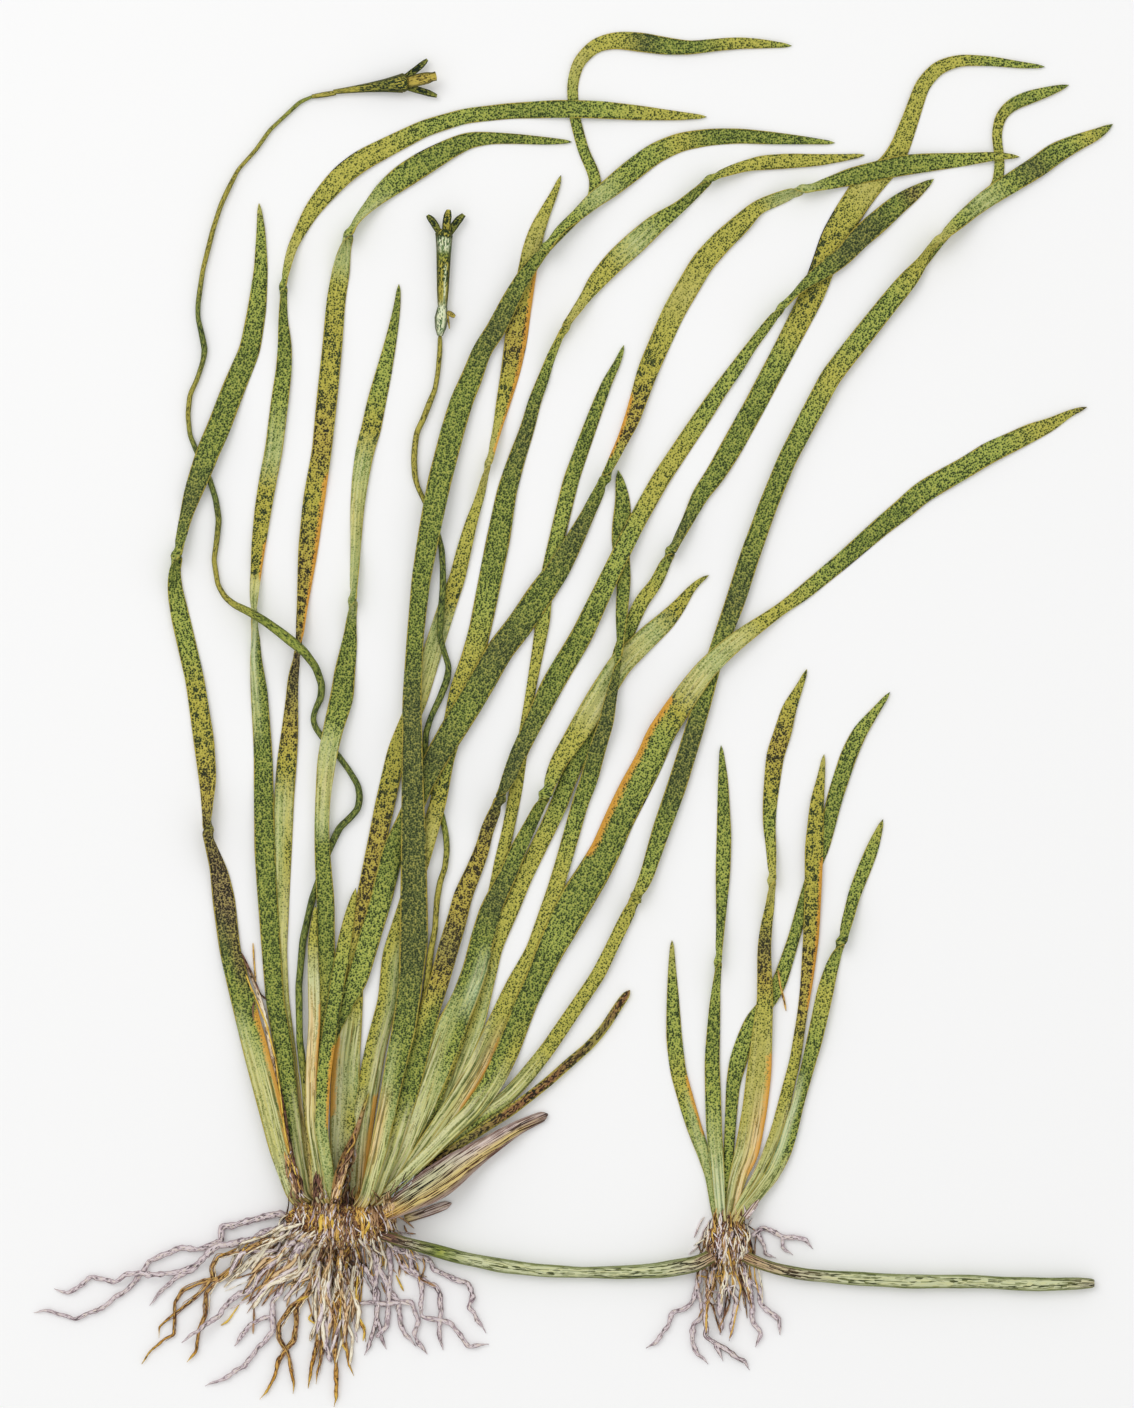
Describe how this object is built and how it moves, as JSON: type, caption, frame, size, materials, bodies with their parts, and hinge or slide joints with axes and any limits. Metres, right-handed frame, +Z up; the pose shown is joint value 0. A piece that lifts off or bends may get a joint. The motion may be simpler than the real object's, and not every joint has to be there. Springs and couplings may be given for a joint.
{
  "type": "vallisneria plant",
  "caption": "Uprooted ribbon-leaved aquarium plant lying flat: long twisting leaves from a rooted crown, coiled flower stalks, and a runner with a daughter plant.",
  "frame": {"origin": "middle of the plant's outline in plan, on the surface it lies on", "axes": "+Y from the roots towards the leaf tips, +X towards the daughter plant, +Z up from the surface"},
  "size_m": [0.3242, 0.4132, 0.0166],
  "materials": {
    "blade_green": "satin",
    "blade_olive": "satin",
    "dead_leaf": "matte",
    "sheath": "matte",
    "stalk": "satin",
    "runner": "satin",
    "tepal": "satin",
    "crown": "matte",
    "root_brown": "matte",
    "root_pale": "matte"
  },
  "bodies": {
    "root": {"crown": "crown", "cut_stub": "stalk", "daughter_crown": "crown", "daughter_leaf_1": "blade_green", "daughter_leaf_2": "blade_green", "daughter_leaf_3": "blade_olive", "daughter_leaf_4": "blade_green", "daughter_leaf_5": "blade_olive", "daughter_leaf_6": "blade_green", "daughter_root_1": "root_pale", "daughter_root_2": "root_brown", "daughter_root_3": "root_brown", "daughter_root_4": "root_pale", "daughter_root_5": "root_pale", "daughter_sheath": "sheath", "dead_strip_left": "dead_leaf", "dead_strip_middle": "dead_leaf", "flower_stalk_left": "stalk", "flower_stalk_right": "stalk", "leaf_a": "blade_green", "leaf_b": "blade_green", "leaf_c": "blade_olive", "leaf_d": "blade_green", "leaf_f": "blade_green", "leaf_g": "blade_green", "leaf_h": "blade_olive", "leaf_j": "blade_green", "leaf_k": "blade_green", "leaf_l": "blade_green", "leaf_m": "blade_green", "leaf_n": "blade_green", "leaf_p": "blade_green", "leaf_r": "blade_olive", "leaf_s": "blade_green", "leaf_t": "blade_green", "leaf_u": "blade_green", "old_sheath": "sheath", "ovary_left": "stalk", "ovary_right": "stalk", "root_01": "root_pale", "root_02": "root_pale", "root_03": "root_brown", "root_04": "root_pale", "root_05": "root_pale", "root_06": "root_brown", "root_07": "root_brown", "root_08": "root_brown", "root_09": "root_brown", "root_10": "root_pale", "root_11": "root_pale", "root_12": "root_pale", "runner": "runner", "runner_tail": "runner", "small_sheath": "sheath", "spathe_left": "stalk", "spathe_right": "stalk", "tepals_left": "tepal", "tepals_right": "tepal", "young_leaf_left": "blade_olive", "young_leaf_right": "blade_olive"}
  },
  "joints": []
}
